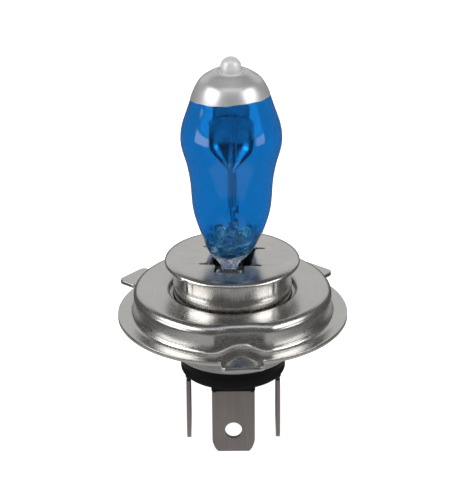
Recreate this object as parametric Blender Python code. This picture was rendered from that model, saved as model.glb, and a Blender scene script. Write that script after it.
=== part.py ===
"""Three-terminal, two-filament headlight bulb, 1:1 scale, metres, +Z from the base to the nose.

The origin is on the bulb's axis, in the plane of the flange's top face, which is the face that seats
in the lamp. The widest lug points to -Y.
"""

from math import cos, hypot, pi, radians, sin, tau

import bmesh
import bpy
from mathutils import Matrix, Vector

MM = 0.001
GAP = 0.3 * MM

# Focusing ring: a pressed sheet with a raised top, a flange and three lugs.
RING_SHEET = 0.8 * MM
FLANGE_RADIUS = 21.5 * MM
RING_WALL_RADIUS = 18.5 * MM
RING_TOP = 5.2 * MM
RING_SHOULDER = 1.2 * MM
RING_FILLET = 1.0 * MM
RING_LIP = 0.9 * MM
RING_HOLE_RADIUS = 11.7 * MM
RING_COLUMNS = 72
FRONT_LUG_TURN = radians(-85.7)
LUG_SPACING = radians(135)
LUG_COLUMNS = 2
FRONT_LUG_REACH = 24.5 * MM
FRONT_LUG_HALF_WIDTH = 3.95 * MM
FRONT_LUG_LIFT = 0.5 * MM
BACK_LUG_REACH = 25.9 * MM
BACK_LUG_HALF_WIDTH = 3.6 * MM
ARCH_RISE = 1.3 * MM
ARCH_HALF_WIDTH = 4.9 * MM

# Upper collar that grips the pinch, and the base cup under the ring.
COLLAR_SHEET = 0.4 * MM
COLLAR_TOP = 11.25 * MM
COLLAR_RIM_RADIUS = 12.55 * MM
COLLAR_RIM_ROUND = 0.55 * MM
TUBE_RADIUS = 10.9 * MM
CUP_SHEET = 0.45 * MM
CUP_FLANGE_RADIUS = 15.5 * MM
CUP_FLANGE_TOP = RING_TOP - RING_SHEET - GAP
CUP_BOTTOM = -8.05 * MM
CUP_LIP_ROUND = 0.6 * MM

# The burner is turned a little against the base.
BURNER_TURN = radians(-5.5)
HOLE_HALF_WIDTH = 2.75 * MM
HOLE_HALF_LENGTH = 7.4 * MM
TONGUE_EDGE = 3.75 * MM
SLIT_REACH = 5.75 * MM
SLIT_OFFSET = 3.9 * MM
SLIT_WIDTH = 0.5 * MM

# Insulator and terminals.
INSULATOR_RADIUS = 9.87 * MM
INSULATOR_NECK_RADIUS = 10.1 * MM
INSULATOR_TOP = -4.0 * MM
INSULATOR_STEP = -7.2 * MM
INSULATOR_BOTTOM = -11.92 * MM
INSULATOR_ROUND = 0.8 * MM
BOSS_HEIGHT = 0.53 * MM
BOSS_HALF = Vector((4.1, 0.9)) * MM
BLADE_HALF_WIDTH = 4.0 * MM
BLADE_THICKNESS = 0.8 * MM
BLADE_BOTTOM = -25.4 * MM
BLADE_CORNER = Vector((1.05, 2.2)) * MM
BLADE_EDGE_TAPER = 0.2 * MM
TANG_HALF_WIDTH = 3.2 * MM
TANG_THICKNESS = 0.6 * MM
TANG_TOP = -3.0 * MM
BLADE_TOP = INSULATOR_BOTTOM - BOSS_HEIGHT - GAP
BLADE_HOLE_RADIUS = 1.6 * MM
BLADE_HOLE_RISE = 4.5 * MM
FRONT_BLADE_OFFSET = 8.15 * MM
SIDE_BLADE_OFFSET = 8.45 * MM

# Quartz envelope: height, half-thickness along X, half-width along Y, joined by a smooth curve.
ENVELOPE_STATIONS = (
    (12.2, 1.85, 6.45), (14.0, 3.68, 6.75), (15.5, 5.20, 6.95), (18.0, 6.28, 7.15),
    (21.5, 7.20, 7.38), (26.5, 7.60, 7.60), (30.0, 8.20, 8.20), (33.0, 9.03, 9.03),
    (35.0, 9.28, 9.28), (37.5, 8.97, 8.97), (41.0, 7.83, 7.83), (44.0, 6.82, 6.82),
    (46.0, 5.68, 5.68), (47.0, 4.45, 4.45), (47.8, 3.05, 3.05), (48.3, 1.60, 1.60),
)
FLARE_TOP = 15.5 * MM
FLARE_RINGS = 3
BODY_RING_STEP = 2.0 * MM
NOSE_TOP = 48.5 * MM
ENVELOPE_WALL = 1.0 * MM
ENVELOPE_COLUMNS = 32
PAINT_THICKNESS = 0.35 * MM
PAINT_HEIGHT = 42.9 * MM
PAINT_SLOPE_X = 0.065
PAINT_SLOPE_Y = -0.10
TIP_RADIUS = 1.95 * MM
TIP_TOP = 50.5 * MM

# Pinch and what is sealed in it.
PINCH_HALF = Vector((1.5, 6.3)) * MM
PINCH_TOP = ENVELOPE_STATIONS[0][0] * MM - GAP
PINCH_BOTTOM = 1.5 * MM
FOIL_SPACING = 3.9 * MM
FOIL_HALF = Vector((0.08, 1.2, 3.0)) * MM
FOIL_MIDDLE = 6.5 * MM
CHANNEL_HALF = Vector((0.65, 1.5)) * MM
LEAD_RADIUS = 0.3 * MM
INNER_WIRE_RADIUS = 0.25 * MM
SUPPORT_WIRE_RADIUS = 0.45 * MM

# Shield, filaments and bridge.
SHIELD_STATIONS = (
    (28.6, 0.70, 0.35), (29.6, 1.75, 1.00), (31.0, 3.10, 1.90), (32.7, 4.05, 2.60),
    (35.3, 4.20, 2.80), (38.0, 4.15, 2.70), (38.5, 3.45, 2.30), (41.6, 3.45, 2.10),
)
SHIELD_SHEET = 0.25 * MM
FILAMENT_WIRE_RADIUS = 0.1 * MM
BRIDGE_HALF = Vector((1.3, 5.0, 1.1)) * MM
BRIDGE_MIDDLE = 16.4 * MM


# Helpers ---------------------------------------------------------------------------------------


def clear_scene():
    for obj in list(bpy.data.objects):
        bpy.data.objects.remove(obj, do_unlink=True)


def material(name, color, roughness, metallic, transmission=0.0):
    made = bpy.data.materials.new(name)
    made.use_nodes = True
    shader = made.node_tree.nodes["Principled BSDF"]
    shader.inputs["Base Color"].default_value = (*color, 1.0)
    shader.inputs["Roughness"].default_value = roughness
    shader.inputs["Metallic"].default_value = metallic
    shader.inputs["Transmission Weight"].default_value = transmission
    return made


def add_object(name, bm, surface, sharp=radians(35)):
    """The bmesh becomes a named object with smooth shading and sharp edges kept."""
    mesh = bpy.data.meshes.new(name)
    bm.to_mesh(mesh)
    bm.free()
    mesh.shade_smooth()
    mesh.set_sharp_from_angle(angle=sharp)
    obj = bpy.data.objects.new(name, mesh)
    bpy.context.scene.collection.objects.link(obj)
    if surface:
        mesh.materials.append(surface)
    return obj


def add_cutter(name, bm):
    cutter = add_object(name, bm, None)
    cutter.hide_render = True
    cutter.display_type = "WIRE"
    return cutter


def arc(centre_r, centre_z, radius, start, end, pieces=3):
    """Points (r, z) on a circle, from start to end in degrees."""
    angles = [radians(start + (end - start) * i / pieces) for i in range(pieces + 1)]
    return [(centre_r + radius * cos(a), centre_z + radius * sin(a)) for a in angles]


def turned_grid(bm, path, columns, first_turn=0.0):
    """A path of (r, z) turned about Z. An outward path faces up, a downward path faces out."""
    grid = []
    for r, z in path:
        turns = [first_turn + tau * c / columns for c in range(columns)]
        grid.append([bm.verts.new((r * cos(a), r * sin(a), z)) for a in turns])
    for inner, outer in zip(grid, grid[1:]):
        for c in range(columns):
            n = (c + 1) % columns
            bm.faces.new((inner[c], outer[c], outer[n], inner[n]))
    return grid


def add_sheet(name, path, columns, thickness, surface):
    """A turned sheet-metal piece. Its thickness lies behind the face that the path makes."""
    bm = bmesh.new()
    turned_grid(bm, path, columns)
    obj = add_object(name, bm, surface)
    thicken(obj, thickness)
    return obj


def thicken(obj, thickness):
    solidify = obj.modifiers.new("Sheet", "SOLIDIFY")
    solidify.thickness = thickness
    solidify.offset = -1.0
    solidify.use_even_offset = True


def loft(bm, rings, cap_start=True, cap_end=True):
    """Closed rings of points, each counterclockwise from above and listed upwards, joined by quads."""
    made = [[bm.verts.new(point) for point in ring] for ring in rings]
    for lower, upper in zip(made, made[1:]):
        count = len(lower)
        for c in range(count):
            n = (c + 1) % count
            bm.faces.new((lower[c], lower[n], upper[n], upper[c]))
    if cap_start:
        bm.faces.new(list(reversed(made[0])))
    if cap_end:
        bm.faces.new(made[-1])
    return made


def rectangle(half_x, half_y, z, middle=(0.0, 0.0)):
    corners = ((-1, -1), (1, -1), (1, 1), (-1, 1))
    return [(middle[0] + sx * half_x, middle[1] + sy * half_y, z) for sx, sy in corners]


def add_box(bm, middle, half_x, half_y, bottom, top):
    loft(bm, [rectangle(half_x, half_y, bottom, middle), rectangle(half_x, half_y, top, middle)])


def boolean(obj, cutter, operation):
    modifier = obj.modifiers.new(operation.title(), "BOOLEAN")
    modifier.operation = operation
    modifier.object = cutter


def smooth_route(points, per_span=4):
    """Points on a smooth curve through the given ones."""
    points = [Vector(p) for p in points]
    ends = [2 * points[0] - points[1], *points, 2 * points[-1] - points[-2]]
    route = []
    for a, b, c, d in zip(ends, ends[1:], ends[2:], ends[3:]):
        for step in range(per_span):
            t = step / per_span
            route.append(
                0.5 * (2 * b + (c - a) * t + (2 * a - 5 * b + 4 * c - d) * t * t
                       + (3 * b - a - 3 * c + d) * t ** 3)
            )
    return [*route, points[-1]]


def add_wire(name, points, radius, surface, parent=None, sides=1):
    curve = bpy.data.curves.new(name, "CURVE")
    curve.dimensions = "3D"
    curve.bevel_depth = radius
    curve.bevel_resolution = sides
    curve.use_fill_caps = True
    spline = curve.splines.new("POLY")
    spline.points.add(len(points) - 1)
    for slot, point in zip(spline.points, points):
        slot.co = (*point, 1.0)
    curve.materials.append(surface)
    obj = bpy.data.objects.new(name, curve)
    bpy.context.scene.collection.objects.link(obj)
    obj.parent = parent
    return obj


def blend(low, high, value):
    """0 below low, 1 above high, smooth between."""
    t = min(1.0, max(0.0, (value - low) / (high - low)))
    return t * t * (3 - 2 * t)


# Focusing ring ---------------------------------------------------------------------------------


def ring_path():
    lip = arc(RING_HOLE_RADIUS + RING_LIP, RING_TOP - RING_LIP, RING_LIP, 180, 90)
    shoulder = arc(RING_WALL_RADIUS - RING_SHOULDER, RING_TOP - RING_SHOULDER, RING_SHOULDER, 90, 0)
    wall = [(RING_WALL_RADIUS, RING_TOP * share) for share in (0.55, 0.36)]
    fillet = arc(RING_WALL_RADIUS + RING_FILLET, RING_FILLET, RING_FILLET, 180, 270)
    return lip + shoulder + wall + fillet + [(FLANGE_RADIUS, 0.0)]


def arch_height(along, across, z):
    """How far the stiffening arch over the front lug lifts the sheet."""
    if along < 0 or abs(across) > ARCH_HALF_WIDTH:
        return 0.0
    crown = ARCH_RISE * cos(pi * across / (2 * ARCH_HALF_WIDTH)) ** 2
    return crown * (1 - blend(RING_FILLET, RING_TOP - RING_SHOULDER, z))


def add_lug(bm, rim, turn, reach, half_width, lift):
    """The flange's edge is drawn outwards between two columns, into a lug with rounded corners."""
    along = Vector((cos(turn), sin(turn), 0))
    across = Vector((-sin(turn), cos(turn), 0))
    middle = round((turn - FRONT_LUG_TURN) / tau * RING_COLUMNS)
    spread = range(-LUG_COLUMNS, LUG_COLUMNS + 1)
    inner = [rim[(middle + c) % RING_COLUMNS] for c in spread]
    for share in (0.25, 0.65, 0.9, 1.0):
        outer = []
        for c, root in zip(spread, inner):
            side = c / LUG_COLUMNS
            width = half_width * (1 - 0.16 * blend(0.65, 1.0, share) * abs(side) ** 3)
            distance = FLANGE_RADIUS + (reach - FLANGE_RADIUS) * share
            distance -= 0.5 * MM * blend(0.6, 1.0, share) * abs(side) ** 3
            rise = lift * share
            if lift:
                crown = ARCH_RISE * cos(pi * side * width / (2 * ARCH_HALF_WIDTH)) ** 2
                rise += crown * (1 - blend(0.0, 0.9, share))
            point = along * distance + across * (side * width) + Vector((0, 0, rise))
            outer.append(bm.verts.new(point))
        for c in range(len(inner) - 1):
            bm.faces.new((inner[c], outer[c], outer[c + 1], inner[c + 1]))
        inner = outer


def make_focus_ring(surface):
    bm = bmesh.new()
    grid = turned_grid(bm, ring_path(), RING_COLUMNS, FRONT_LUG_TURN)
    along = Vector((cos(FRONT_LUG_TURN), sin(FRONT_LUG_TURN), 0))
    across = Vector((-sin(FRONT_LUG_TURN), cos(FRONT_LUG_TURN), 0))
    for row in grid:
        for vert in row:
            vert.co.z += arch_height(vert.co.dot(along), vert.co.dot(across), vert.co.z)
    add_lug(bm, grid[-1], FRONT_LUG_TURN, FRONT_LUG_REACH, FRONT_LUG_HALF_WIDTH, FRONT_LUG_LIFT)
    for side in (-1, 1):
        turn = FRONT_LUG_TURN + side * LUG_SPACING
        add_lug(bm, grid[-1], turn, BACK_LUG_REACH, BACK_LUG_HALF_WIDTH, 0.0)
    ring = add_object("focus_ring", bm, surface)
    thicken(ring, RING_SHEET)


# Collar and base cup ---------------------------------------------------------------------------


def collar_path():
    rim_centre = COLLAR_RIM_RADIUS - COLLAR_RIM_ROUND
    rim = arc(rim_centre, COLLAR_TOP - COLLAR_RIM_ROUND, COLLAR_RIM_ROUND, 90, -90, 4)
    under = COLLAR_TOP - 2 * COLLAR_RIM_ROUND
    fillet = arc(TUBE_RADIUS + 0.6 * MM, under - 0.6 * MM, 0.6 * MM, 90, 180, 2)
    tube_end = CUP_FLANGE_TOP + GAP
    return [(2.0 * MM, COLLAR_TOP), *rim, *fillet, (TUBE_RADIUS, tube_end)]


def pinch_hole_cutter():
    """The disc's opening: a long hole, wider between the side tongues, with two slits on each side."""
    low = SLIT_OFFSET - SLIT_WIDTH / 2
    high = SLIT_OFFSET + SLIT_WIDTH / 2
    quarter = [
        (TONGUE_EDGE, low), (SLIT_REACH, low), (SLIT_REACH, high),
        (HOLE_HALF_WIDTH, high), (HOLE_HALF_WIDTH, HOLE_HALF_LENGTH),
    ]
    right = [(x, -y) for x, y in reversed(quarter)] + quarter
    left = [(-x, -y) for x, y in right]
    outline = right + left
    bm = bmesh.new()
    loft(bm, [[(x, y, z) for x, y in outline] for z in (COLLAR_TOP - MM, COLLAR_TOP + MM)])
    cutter = add_cutter("pinch_hole_cutter", bm)
    cutter.rotation_euler.z = BURNER_TURN
    return cutter


def make_bulb_collar(surface):
    collar = add_sheet("bulb_collar", collar_path(), 48, COLLAR_SHEET, surface)
    boolean(collar, pinch_hole_cutter(), "DIFFERENCE")


def make_base_cup(surface):
    under = CUP_FLANGE_TOP - CUP_SHEET
    fillet = arc(TUBE_RADIUS + 0.5 * MM, under - 0.5 * MM, 0.5 * MM, 90, 180, 2)
    lip = arc(TUBE_RADIUS - CUP_LIP_ROUND, CUP_BOTTOM + CUP_LIP_ROUND, CUP_LIP_ROUND, 0, -90)
    path = [(CUP_FLANGE_RADIUS, under), *fillet, *lip]
    add_sheet("base_cup", path, 48, CUP_SHEET, surface)


# Insulator and terminals -----------------------------------------------------------------------


def terminal_places():
    """Name, middle (x, y) and turn about Z of each blade. Untilted, a blade's width lies along X."""
    return (
        ("terminal_low_beam", (0.0, -FRONT_BLADE_OFFSET), 0.0),
        ("terminal_left", (-SIDE_BLADE_OFFSET, 0.0), -pi / 2),
        ("terminal_right", (SIDE_BLADE_OFFSET, 0.0), pi / 2),
    )


def blade_boxes(name, half_x, half_y, bottom, top):
    bm = bmesh.new()
    for _, middle, turn in terminal_places():
        across = turn != 0.0
        halves = (half_y, half_x) if across else (half_x, half_y)
        add_box(bm, middle, *halves, bottom, top)
    return add_cutter(name, bm)


def make_insulator(surface):
    bottom_round = arc(
        INSULATOR_RADIUS - INSULATOR_ROUND, INSULATOR_BOTTOM + INSULATOR_ROUND, INSULATOR_ROUND, 0, -90
    )
    path = [
        (INSULATOR_NECK_RADIUS, INSULATOR_TOP),
        (INSULATOR_NECK_RADIUS, INSULATOR_STEP),
        (INSULATOR_RADIUS, INSULATOR_STEP),
        *bottom_round,
    ]
    bm = bmesh.new()
    grid = turned_grid(bm, path, 48)
    bm.faces.new(grid[0])
    bm.faces.new(list(reversed(grid[-1])))
    insulator = add_object("insulator", bm, surface)
    boss_bottom = INSULATOR_BOTTOM - BOSS_HEIGHT
    bosses = blade_boxes("boss_block", BOSS_HALF.x, BOSS_HALF.y, boss_bottom, INSULATOR_BOTTOM + MM)
    boolean(insulator, bosses, "UNION")
    slot_x = TANG_HALF_WIDTH + GAP
    slot_y = TANG_THICKNESS / 2 + GAP
    slots = blade_boxes("slot_cutter", slot_x, slot_y, boss_bottom - MM, INSULATOR_TOP + MM)
    boolean(insulator, slots, "DIFFERENCE")


def blade_rings():
    """A thin tang, a step, then the full blade with cut corners and a thinned end, bottom first."""
    half = BLADE_THICKNESS / 2
    corner_top = BLADE_BOTTOM + BLADE_CORNER.y
    thin_top = BLADE_BOTTOM + BLADE_CORNER.y / 2
    end_width = BLADE_HALF_WIDTH - BLADE_CORNER.x
    return [
        rectangle(end_width, half - BLADE_EDGE_TAPER, BLADE_BOTTOM),
        rectangle(end_width + BLADE_CORNER.x / 2, half, thin_top),
        rectangle(BLADE_HALF_WIDTH, half, corner_top),
        rectangle(BLADE_HALF_WIDTH, half, BLADE_TOP),
        rectangle(TANG_HALF_WIDTH, TANG_THICKNESS / 2, BLADE_TOP),
        rectangle(TANG_HALF_WIDTH, TANG_THICKNESS / 2, TANG_TOP),
    ]


def blade_hole_cutter():
    bm = bmesh.new()
    bmesh.ops.create_cone(
        bm, cap_ends=True, segments=24, radius1=BLADE_HOLE_RADIUS, radius2=BLADE_HOLE_RADIUS,
        depth=3 * MM, matrix=Matrix.Rotation(pi / 2, 4, "X"),
    )
    cutter = add_cutter("blade_hole_cutter", bm)
    cutter.location.z = BLADE_BOTTOM + BLADE_HOLE_RISE
    return cutter


def make_terminals(surface):
    for name, middle, turn in terminal_places():
        bm = bmesh.new()
        loft(bm, blade_rings())
        blade = add_object(name, bm, surface)
        blade.location = (*middle, 0.0)
        blade.rotation_euler.z = turn
        hole = blade_hole_cutter()
        hole.parent = blade
        boolean(blade, hole, "DIFFERENCE")


# Quartz envelope, its paint and its tip --------------------------------------------------------


def envelope_curve():
    stations = smooth_route([(a * MM, b * MM, h * MM) for h, a, b in ENVELOPE_STATIONS], 6)
    return [*stations, Vector((0.0, 0.0, NOSE_TOP))]


def envelope_halves(z):
    """Half-thickness and half-width of the envelope's outside at height z."""
    curve = envelope_curve()
    for low, high in zip(curve, curve[1:]):
        if z <= high.z:
            break
    share = min(1.0, max(0.0, (z - low.z) / (high.z - low.z)))
    point = low.lerp(high, share)
    return point.x, point.y


def envelope_ring(height, inset=0.0, tilt=0.0):
    """A ring on the envelope, or an inset behind it. Tilt 1 follows the slope of the paint's edge."""
    ring = []
    step = 0.3 * MM
    for c in range(ENVELOPE_COLUMNS):
        turn = tau * c / ENVELOPE_COLUMNS
        half_x, half_y = envelope_halves(height)
        z = height + tilt * (PAINT_SLOPE_X * half_x * cos(turn) + PAINT_SLOPE_Y * half_y * sin(turn))
        half_x, half_y = envelope_halves(z)
        lean = (envelope_halves(z + step)[0] - envelope_halves(z - step)[0]) / (2 * step)
        back = inset / hypot(1.0, lean)
        ring.append(((half_x - back) * cos(turn), (half_y - back) * sin(turn), z + back * lean))
    return ring


def envelope_heights(top):
    """Ring heights up the body, closer together where it widens out of the pinch."""
    bottom = ENVELOPE_STATIONS[0][0] * MM
    heights = [bottom + (FLARE_TOP - bottom) * step / FLARE_RINGS for step in range(FLARE_RINGS)]
    count = round((top - FLARE_TOP) / BODY_RING_STEP)
    heights += [FLARE_TOP + (top - FLARE_TOP) * step / count for step in range(count)]
    return heights


def add_envelope_shell(name, outside, inside, surface, parent):
    """Two nested lofts, each closed at the nose, joined along their lowest rings."""
    bm = bmesh.new()
    outer = loft(bm, outside, cap_start=False)[0]
    inner = loft(bm, inside, cap_start=False)[0]
    for c in range(ENVELOPE_COLUMNS):
        n = (c + 1) % ENVELOPE_COLUMNS
        bm.faces.new((outer[n], outer[c], inner[c], inner[n]))
    bmesh.ops.recalc_face_normals(bm, faces=bm.faces)
    shell = add_object(name, bm, surface, radians(60))
    shell.parent = parent


def nose_rings(inset, first):
    """Rings from the paint's edge, or a little above it, up to the nose."""
    steps = ((first, 1.0), (44.2 * MM, 0.55), (45.3 * MM, 0.25), (46.2 * MM, 0.05))
    steps += tuple((z * MM, 0.0) for z in (47.0, 47.7, 48.1))
    return [envelope_ring(z, inset, tilt) for z, tilt in steps]


def make_glass_envelope(surface, parent):
    """The wall steps back under the paint, so that the paint lies flush with the bare glass."""
    recess = PAINT_THICKNESS + GAP
    body = envelope_heights(PAINT_HEIGHT - 3 * MM)
    below = ((PAINT_HEIGHT - 1.6 * MM, 0.6), (PAINT_HEIGHT, 1.0))
    outside = [envelope_ring(z) for z in body]
    outside += [envelope_ring(z, 0.0, tilt) for z, tilt in below]
    outside += nose_rings(recess, PAINT_HEIGHT)
    inside = [envelope_ring(z, ENVELOPE_WALL) for z in body]
    inside += nose_rings(ENVELOPE_WALL + recess, PAINT_HEIGHT)[:-1]
    add_envelope_shell("glass_envelope", outside, inside, surface, parent)


def make_reflective_cap(surface, parent):
    first = PAINT_HEIGHT + GAP
    outside = nose_rings(0.0, first)
    inside = nose_rings(PAINT_THICKNESS, first)
    add_envelope_shell("reflective_cap", outside, inside, surface, parent)


def make_exhaust_tip(surface, parent):
    """A short stub with a round top. Its underside follows the nose."""
    top = arc(0.0, TIP_TOP - TIP_RADIUS, TIP_RADIUS, 80, 15, 4)
    path = [*top, (TIP_RADIUS, 48.75 * MM), (0.9 * MM, 48.85 * MM)]
    bm = bmesh.new()
    grid = turned_grid(bm, path, 20)
    bm.faces.new(grid[0])
    bm.faces.new(list(reversed(grid[-1])))
    tip = add_object("exhaust_tip", bm, surface)
    tip.parent = parent


# Pinch, foils and wires ------------------------------------------------------------------------


def foil_places():
    return (("low_beam", -FOIL_SPACING), ("ground", 0.0), ("high_beam", FOIL_SPACING))


def pinch_ring(z):
    """A rounded rectangle."""
    round_edge = 0.6 * MM
    ring = []
    for quarter, (sx, sy) in enumerate(((1, 1), (-1, 1), (-1, -1), (1, -1))):
        for step in range(4):
            turn = radians(90 * quarter + 30 * step)
            x = sx * (PINCH_HALF.x - round_edge) + round_edge * cos(turn)
            y = sy * (PINCH_HALF.y - round_edge) + round_edge * sin(turn)
            ring.append((x, y, z))
    return ring


def make_press_seal(surface, parent):
    bm = bmesh.new()
    loft(bm, [pinch_ring(PINCH_BOTTOM), pinch_ring(PINCH_TOP)])
    seal = add_object("press_seal", bm, surface)
    seal.parent = parent
    bm = bmesh.new()
    for _, y in foil_places():
        add_box(bm, (0.0, y), CHANNEL_HALF.x, CHANNEL_HALF.y, PINCH_BOTTOM - MM, PINCH_TOP + MM)
    channels = add_cutter("channel_cutter", bm)
    channels.parent = parent
    boolean(seal, channels, "DIFFERENCE")


def make_foils(surface, parent):
    for name, y in foil_places():
        bm = bmesh.new()
        low = FOIL_MIDDLE - FOIL_HALF.z
        high = FOIL_MIDDLE + FOIL_HALF.z
        add_box(bm, (0.0, y), FOIL_HALF.x, FOIL_HALF.y, low, high)
        foil = add_object("foil_" + name, bm, surface)
        foil.parent = parent


def make_outer_leads(surface):
    """From the lower end of each foil to the inner face of a terminal's tang."""
    reach = TANG_THICKNESS / 2 + GAP + LEAD_RADIUS
    ends = (
        Vector((0.0, -FRONT_BLADE_OFFSET + reach, 0.0)),
        Vector((-SIDE_BLADE_OFFSET + reach, 0.0, 0.0)),
        Vector((SIDE_BLADE_OFFSET - reach, 0.0, 0.0)),
    )
    turn = Matrix.Rotation(BURNER_TURN, 3, "Z")
    start_z = FOIL_MIDDLE - FOIL_HALF.z - GAP
    for (name, y), end in zip(foil_places(), ends):
        start = turn @ Vector((0.0, y, 0.0))
        points = [
            start + Vector((0, 0, start_z)),
            start + Vector((0, 0, 1.6 * MM)),
            start.lerp(end, 0.35) + Vector((0, 0, -0.2 * MM)),
            start.lerp(end, 0.92) + Vector((0, 0, -1.6 * MM)),
            end + Vector((0, 0, INSULATOR_TOP + 2 * GAP)),
        ]
        add_wire("lead_" + name, smooth_route(points, 3), LEAD_RADIUS, surface)


def make_inner_wires(surface, parent):
    """Three wires rise from the foils, through the bridge, to the shield and the filaments."""
    start = FOIL_MIDDLE + FOIL_HALF.z + GAP
    straight = BRIDGE_MIDDLE + BRIDGE_HALF.z + 0.6 * MM
    support = [
        (0, 0, start), (0, 0, straight), (-0.3 * MM, 0.25 * MM, 21 * MM),
        (-0.3 * MM, 0.35 * MM, 28.2 * MM),
    ]
    low = [
        (0, -FOIL_SPACING, start), (0, -FOIL_SPACING, straight), (0, -2.6 * MM, 22 * MM),
        (0, -1.75 * MM, 28 * MM), (0, -1.4 * MM, 32.4 * MM),
    ]
    high = [
        (0, FOIL_SPACING, start), (0, FOIL_SPACING, straight),
        (0.9 * MM, 2.2 * MM, 19.0 * MM), (1.15 * MM, 1.5 * MM, 19.8 * MM),
    ]
    add_wire("shield_support_wire", smooth_route(support), SUPPORT_WIRE_RADIUS, surface, parent)
    add_wire("low_beam_lead_wire", smooth_route(low), INNER_WIRE_RADIUS, surface, parent)
    add_wire("high_beam_lead_wire", smooth_route(high), INNER_WIRE_RADIUS, surface, parent)


def make_filament_bridge(surface, parent):
    """A small quartz bar that holds the three wires apart."""
    bottom = BRIDGE_MIDDLE - BRIDGE_HALF.z
    top = BRIDGE_MIDDLE + BRIDGE_HALF.z
    bm = bmesh.new()
    add_box(bm, (0.0, 0.0), BRIDGE_HALF.x, BRIDGE_HALF.y, bottom, top)
    bridge = add_object("filament_bridge", bm, surface)
    bridge.parent = parent
    bm = bmesh.new()
    for (_, y), radius in zip(foil_places(), (INNER_WIRE_RADIUS, SUPPORT_WIRE_RADIUS, INNER_WIRE_RADIUS)):
        place = Matrix.Translation((0.0, y, BRIDGE_MIDDLE))
        bmesh.ops.create_cone(
            bm, cap_ends=True, segments=12, radius1=radius + GAP, radius2=radius + GAP,
            depth=4 * MM, matrix=place,
        )
    holes = add_cutter("bridge_hole_cutter", bm)
    holes.parent = parent
    boolean(bridge, holes, "DIFFERENCE")


# Shield and filaments --------------------------------------------------------------------------


def make_shield_cup(surface, parent):
    """A spoon-shaped shield, hollow towards -Y, on the support wire's end."""
    bm = bmesh.new()
    grid = []
    for z, half_width, depth in SHIELD_STATIONS:
        turns = [pi * c / 12 for c in range(13)]
        grid.append([
            bm.verts.new((half_width * MM * cos(a), depth * MM * sin(a), z * MM)) for a in turns
        ])
    for lower, upper in zip(grid, grid[1:]):
        for c in range(12):
            bm.faces.new((lower[c], lower[c + 1], upper[c + 1], upper[c]))
    shield = add_object("shield_cup", bm, surface)
    shield.parent = parent
    thicken(shield, SHIELD_SHEET)


def coil_points(middle, radius, bottom, top, turns, per_turn=8):
    count = turns * per_turn
    points = []
    for step in range(count + 1):
        turn = tau * step / per_turn
        z = bottom + (top - bottom) * step / count
        points.append((middle[0] + radius * cos(turn), middle[1] + radius * sin(turn), z))
    return points


def make_filaments(surface, parent):
    low = coil_points((0.0, -0.2 * MM), 0.7 * MM, 32.9 * MM, 37.4 * MM, 7)
    high = coil_points((1.15 * MM, 0.35 * MM), 0.65 * MM, 20.0 * MM, 27.0 * MM, 9)
    add_wire("low_beam_filament", low, FILAMENT_WIRE_RADIUS, surface, parent, 0)
    add_wire("high_beam_filament", high, FILAMENT_WIRE_RADIUS, surface, parent, 0)


# Assembly --------------------------------------------------------------------------------------


def main():
    clear_scene()
    steel = material("pressed_steel", (0.56, 0.55, 0.53), 0.25, 1.0)
    blade = material("tinned_blade", (0.33, 0.31, 0.29), 0.42, 1.0)
    moulding = material("black_moulding", (0.012, 0.012, 0.013), 0.45, 0.0)
    blue_glass = material("blue_quartz", (0.01, 0.14, 0.55), 0.03, 0.0, 0.9)
    clear_glass = material("clear_quartz", (0.86, 0.89, 0.95), 0.05, 0.0, 0.9)
    paint = material("silver_paint", (0.62, 0.62, 0.63), 0.35, 0.8)
    molybdenum = material("molybdenum", (0.30, 0.31, 0.34), 0.35, 1.0)
    tungsten = material("tungsten", (0.42, 0.43, 0.46), 0.35, 1.0)

    burner = bpy.data.objects.new("burner", None)
    bpy.context.scene.collection.objects.link(burner)
    burner.rotation_euler.z = BURNER_TURN

    make_focus_ring(steel)
    make_bulb_collar(steel)
    make_base_cup(steel)
    make_insulator(moulding)
    make_terminals(blade)
    make_glass_envelope(blue_glass, burner)
    make_reflective_cap(paint, burner)
    make_exhaust_tip(paint, burner)
    make_press_seal(clear_glass, burner)
    make_foils(molybdenum, burner)
    make_outer_leads(molybdenum)
    make_inner_wires(molybdenum, burner)
    make_filament_bridge(clear_glass, burner)
    make_shield_cup(molybdenum, burner)
    make_filaments(tungsten, burner)


main()
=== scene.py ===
"""Looks of the headlight bulb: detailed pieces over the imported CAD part, materials, camera and studio."""

from math import asin, atan2, cos, exp, hypot, pi, radians, sin, sqrt, tau

import bmesh
import bpy
from mathutils import Matrix, Vector

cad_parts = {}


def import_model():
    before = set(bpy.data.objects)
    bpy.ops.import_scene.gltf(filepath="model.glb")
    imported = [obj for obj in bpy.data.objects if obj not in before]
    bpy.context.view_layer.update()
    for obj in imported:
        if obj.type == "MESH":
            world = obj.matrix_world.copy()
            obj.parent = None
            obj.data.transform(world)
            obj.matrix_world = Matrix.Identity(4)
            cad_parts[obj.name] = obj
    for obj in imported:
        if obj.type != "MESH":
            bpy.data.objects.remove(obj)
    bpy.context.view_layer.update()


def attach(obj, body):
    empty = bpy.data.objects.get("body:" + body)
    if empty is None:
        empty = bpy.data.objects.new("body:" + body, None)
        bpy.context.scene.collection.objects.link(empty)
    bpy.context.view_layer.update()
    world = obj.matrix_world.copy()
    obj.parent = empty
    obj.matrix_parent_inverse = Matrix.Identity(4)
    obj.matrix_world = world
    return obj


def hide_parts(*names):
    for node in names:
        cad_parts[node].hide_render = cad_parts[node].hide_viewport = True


MM = 0.001

# Camera.
CAMERA_RISE = radians(24.6)
CAMERA_ROLL = radians(0.46)
CAMERA_DISTANCE = 450 * MM
CAMERA_TARGET = Vector((-0.219, 0.0, 12.27)) * MM
CAMERA_LENS = 189.0
CAMERA_SENSOR = 36.0

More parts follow.
